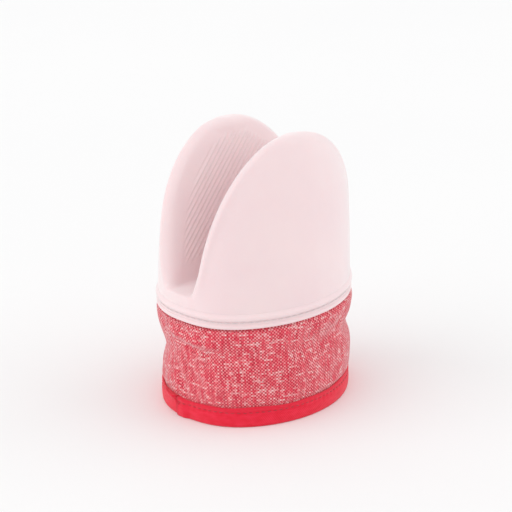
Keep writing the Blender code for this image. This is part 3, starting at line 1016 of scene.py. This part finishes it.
def addPocket(name, side, inset, drop, base, thickness):
    levels = lobeLevels(base, silicone["height"] - drop - 0.0001, 64)
    points = np.stack([lobeLoop(z, inset, drop) for z in levels])
    flare = pocket["flare"] * (1 - smoothStep(base, silicone["valley"] + 0.004, points[..., 2]))
    points[..., 0] *= 1 - flare / silicone["halfWidth"]
    points[..., 1] -= flare
    slanted = np.sin(points[..., 0] * 520 + points[..., 2] * 160)
    points[..., 1] += pocket["wave"] * slanted * np.sin(points[..., 2] * 430)
    points[..., 1] *= side
    piece = wrapGrid(name, points, (0.17, 0.062))
    editWhole(piece, closeEnds)
    keepSide(piece, (0, 0, base + 0.0002), (0, 0, 1))
    applyModifier(piece, "SOLIDIFY", thickness=thickness, offset=-1.0, use_rim=True)
    softShade(piece, 60)
    return piece


def makePockets():
    for word, side in sides:
        wadding = addPocket(f"{word}Wadding", side, pocket["waddingInset"], pocket["waddingDrop"],
                            pocket["waddingBase"], pocket["waddingThickness"])
        dress(wadding, fibreWadding, "wadding", f"{word}_pocket_wadding")
        blendToLobe(wadding)
        lining = addPocket(f"{word}Lining", side, pocket["liningInset"], pocket["liningDrop"],
                           pocket["liningBase"], pocket["liningThickness"])
        dress(lining, creamCotton, "lining", f"{word}_pocket_lining")
        blendToLobe(lining)


def makeSaddleLining():
    # the strip under the valley, its long edges turned up to the pockets
    across = np.linspace(-1, 1, 25)
    along = np.linspace(-0.5, 0.5, 81) * pocket["saddleLength"]
    level = rimHigh.z - pocket["saddleDrop"] + pocket["saddleTurnUp"] * np.abs(across) ** 2.5
    ripple = pocket["saddleRipple"] * np.sin(along[:, None] * 700) * (1 - across[None, :] ** 2)
    half = pocket["saddleHalf"]
    height = level[None, :] + ripple
    points = np.stack(np.broadcast_arrays(along[:, None], half * across[None, :], height), -1)
    piece = wrapGrid("saddleLining", points, (2 * half, pocket["saddleLength"]))
    applyModifier(piece, "SOLIDIFY", thickness=pocket["liningThickness"], offset=0.0, use_rim=True)
    softShade(piece, 60)
    dress(piece, creamCotton, "lining", "saddle_lining")
    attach(piece, "cuff")


makePockets()
makeSaddleLining()
print("pockets ready")


# hem binding: twill tape folded round the hem, puckered by its stitches
binding = {
    "height": bindHigh.z,
    "columns": 641,
    "inner": -0.0030,
    "outer": 0.0010,
    "stitchZ": 0.0066,
    "stitchPitch": 0.0026,
    "stitchLength": 0.0019,
    "stitchRadius": 0.00020,
    "lap": 0.0010,
    "lapReach": math.radians(5.0),
    "groove": 0.0016,  # the dark gap beside the folded end
    "grooveAt": 0.011,
    "grooveHalf": 0.008,
    "gape": 0.0021,  # how far the tape's top stands off the cloth before the joint
    "gapeRises": (0.008, 0.07),  # radians before the joint
    "gapeFalls": (0.10, 0.42),
    "wobbles": ((0.00025, 5, 0.4), (0.00018, 11, 1.0)),  # size, waves round the hem, start
    "width": 0.0235,
}


def lapRise(angle):
    # the folded end stands proud from the joint onwards, then eases down onto the tape
    away = (angle - seamAngle) % fullTurn
    before = (seamAngle - angle) % fullTurn
    after = binding["lap"] * (1 - smoothStep(binding["lapReach"], 2.2 * binding["lapReach"], away))
    edge = 1 - smoothStep(0.0, 0.003, before)
    nick = binding["groove"] * np.exp(-((before - binding["grooveAt"]) / binding["grooveHalf"]) ** 2)
    nick = nick * (before < math.pi)
    return np.maximum(after * (away < math.pi), binding["lap"] * edge * (before < math.pi)) - nick


def makeBinding():
    angles, length = evenAngles(cuff["hemWidth"], cuff["hemDepth"], binding["columns"])
    near = np.linspace(0.0006, 0.035, 24)  # closer columns where the tape's end steps up
    angles = np.sort(np.concatenate([angles, seamAngle + near[:10], seamAngle + fullTurn - near]))
    stitchPhase = np.linspace(0, length, len(angles)) / binding["stitchPitch"]
    pucker = 0.5 - 0.5 * np.cos(fullTurn * stitchPhase)
    wobble = sum(size * np.sin(waves * angles + start) for size, waves, start in binding["wobbles"])
    rise = lapRise(angles)
    before = (seamAngle - angles) % fullTurn
    gape = smoothStep(*binding["gapeRises"], before) * (1 - smoothStep(*binding["gapeFalls"], before))
    gape = binding["gape"] * gape
    outer, inner, high = binding["outer"], binding["inner"], binding["height"]
    profile = [  # outset, height, and how hard the stitches pull it in
        (inner + 0.0008, 0.0, 0.0), (outer - 0.0006, 0.0, 0.0), (outer - 0.0002, 0.00018, 0.0),
        (outer, 0.0007, 0.0), (outer + 0.00012, 0.0020, 0.0), (outer + 0.00018, 0.0036, 0.0),
        (outer + 0.00012, 0.0050, 0.3), (outer - 0.00002, 0.0059, 0.8), (outer - 0.00014, 0.0066, 1.2),
        (outer + 0.00002, 0.0073, 0.8), (outer + 0.00008, 0.0079, 0.4),
        (outer - 0.00002, high - 0.0004, 0.2), (outer - 0.0003, high - 0.00005, 0.1),
        (outer - 0.00078, high - 0.00012, 0.0), (0.00010, high - 0.0006, 0.0),
        (0.00012, 0.0040, 0.0), (0.00012, 0.0009, 0.0),
        (-0.0023, 0.0009, 0.0), (-0.0023, high - 0.0014, 0.0),
        (-0.0026, high - 0.0008, 0.0), (inner + 0.0001, high - 0.0012, 0.0), (inner, 0.0066, -0.6),
        (inner, 0.0007, 0.0), (inner + 0.0002, 0.00018, 0.0), (inner + 0.0008, 0.0, 0.0),
    ]
    rows = []
    for outset, z, draw in profile:
        outside = 1.0 if outset > 0.0003 else 0.0
        across = outset + outside * rise - 0.00016 * draw * (1 - pucker)
        if outset > 0.0001:
            across = across + gape * smoothStep(0.0042, high, z)
        level = z + wobble * smoothStep(0.002, high, z)
        rows.append(ovalPoints(cuff["hemWidth"], cuff["hemDepth"], across, angles, level))
    piece = wrapGrid("hemBinding", np.stack(rows), (length, 0.024))
    softShade(piece, 55)
    dress(piece, redTwill, "binding", "hem_binding")
    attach(piece, "cuff")


jointStitch = {
    "count": 4,
    "size": (0.00020, 0.00018, 0.00052),
    "slant": 0.3,
    "beside": math.radians(1.6),
    "first": 0.0018,
    "spacing": 0.00125,
    "sink": 0.00002,
}


def makeJointStitches():
    # short stitches hold the tape's folded end down
    pieces = []
    angle = seamAngle + jointStitch["beside"]
    outset = binding["outer"] + binding["lap"] - jointStitch["sink"]
    for k in range(jointStitch["count"]):
        deselectAll()
        bpy.ops.mesh.primitive_uv_sphere_add(segments=6, ring_count=6, radius=1.0)
        one = bpy.context.object
        shape = readPoints(one) * np.array(jointStitch["size"])
        shape[:, 1] += jointStitch["slant"] * (-1) ** k * shape[:, 2]
        height = jointStitch["first"] + jointStitch["spacing"] * k
        place = ovalPoints(cuff["hemWidth"], cuff["hemDepth"], outset, angle, height)
        writePoints(one, shape + place)
        pieces.append(one)
    joined = joinPieces(pieces, "bindingJointStitch")
    editWhole(joined, faceOutwards)
    softShade(joined, 80)
    dress(joined, redThread, "red_thread", "binding_joint_stitch")
    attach(joined, "cuff")


def makeInnerRimSeam():
    back = rim["innerShrink"]
    seam = makeStitches("rimSeamInner", silicone["halfWidth"] - back, silicone["halfDepth"] - back,
                        rim["innerOutset"], rim["groove"], rim)
    dress(seam, pinkThread, "pink_thread", "rim_seam_inner")
    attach(seam, "cuff")


def tapeFace(angle):
    return binding["outer"] - 0.00008 + float(lapRise(angle))


def makeBindingStitches():
    outside = makeStitches("bindingTopstitchOuter", cuff["hemWidth"], cuff["hemDepth"],
                           tapeFace, binding["stitchZ"], binding)
    inside = makeStitches("bindingTopstitchInner", cuff["hemWidth"], cuff["hemDepth"],
                          binding["inner"] - 0.00005, binding["stitchZ"], binding)
    for piece, node in ((outside, "binding_topstitch_outer"), (inside, "binding_topstitch_inner")):
        dress(piece, redThread, "red_thread", node)
        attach(piece, "cuff")


makeBinding()
makeBindingStitches()
makeJointStitches()
makeInnerRimSeam()
print("binding ready")


# studio: pale floor, soft light and the camera
studio = {
    "target": Vector((0.0, 0.0, 0.06)),
    "azimuth": math.radians(-44.5),
    "elevation": math.radians(19.65),
    "distance": 0.70,
    "lens": 113.8,
    "aside": -0.0008,
    "lift": 0.0011,
    "room": 0.895,
    "floorRadius": 8.0,
    "lights": (
        ("windowLight", -114, 28, 0.74, 60),
        ("sideFill", 50, 24, 0.55, 70),
    ),
}


def makeCamera():
    azimuth, elevation = studio["azimuth"], studio["elevation"]
    back = Vector((math.sin(azimuth) * math.cos(elevation), -math.cos(azimuth) * math.cos(elevation),
                   math.sin(elevation)))
    right = Vector((math.cos(azimuth), math.sin(azimuth), 0.0))
    up = back.cross(right)
    shifted = studio["target"] + right * studio["aside"] + up * studio["lift"]
    data = bpy.data.cameras.new("studioCamera")
    data.lens = studio["lens"]
    data.sensor_width = 36.0
    data.clip_start = 0.01
    camera = bpy.data.objects.new("studioCamera", data)
    camera.location = shifted + back * studio["distance"]
    camera.rotation_euler = back.to_track_quat("Z", "Y").to_euler()
    bpy.context.scene.collection.objects.link(camera)
    bpy.context.scene.camera = camera


def addSoftLight(name, azimuth, elevation, power, spread):
    # a broad far light: its angle makes its shadows soft and lights the floor evenly
    turn, rise = math.radians(azimuth), math.radians(elevation)
    data = bpy.data.lights.new(name, "SUN")
    data.energy = power
    data.angle = math.radians(spread)
    light = bpy.data.objects.new(name, data)
    towards = Vector((math.sin(turn) * math.cos(rise), -math.cos(turn) * math.cos(rise), math.sin(rise)))
    light.location = towards
    light.rotation_euler = towards.to_track_quat("Z", "Y").to_euler()
    bpy.context.scene.collection.objects.link(light)


def makeStudio():
    deselectAll()
    bpy.ops.mesh.primitive_circle_add(vertices=96, radius=studio["floorRadius"], fill_type="NGON")
    floor = bpy.context.object
    floor.name = "studioFloor"
    material, tree, shader = startMaterial("paleFloor", (0.86, 0.855, 0.86), 0.8)
    tint = rangeNode(tree, noiseNode(tree, objectPoint(tree), 3.0), 0.3, 0.7)
    pale = mixColours(tree, tint, (0.915, 0.915, 0.915), (0.905, 0.905, 0.907))
    feed(tree, shader.inputs["Base Color"], pale)
    shader.inputs["Specular IOR Level"].default_value = 0.1
    floor.data.materials.append(material)
    world = bpy.data.worlds.new("softRoom")
    world.use_nodes = True
    world.node_tree.nodes["Background"].inputs[0].default_value = (1.0, 1.0, 1.0, 1.0)
    world.node_tree.nodes["Background"].inputs[1].default_value = studio["room"]
    bpy.context.scene.world = world
    for name, azimuth, elevation, power, spread in studio["lights"]:
        addSoftLight(name, azimuth, elevation, power, spread)
    bpy.context.scene.view_settings.view_transform = "Standard"


makeCamera()
makeStudio()
print("studio ready")
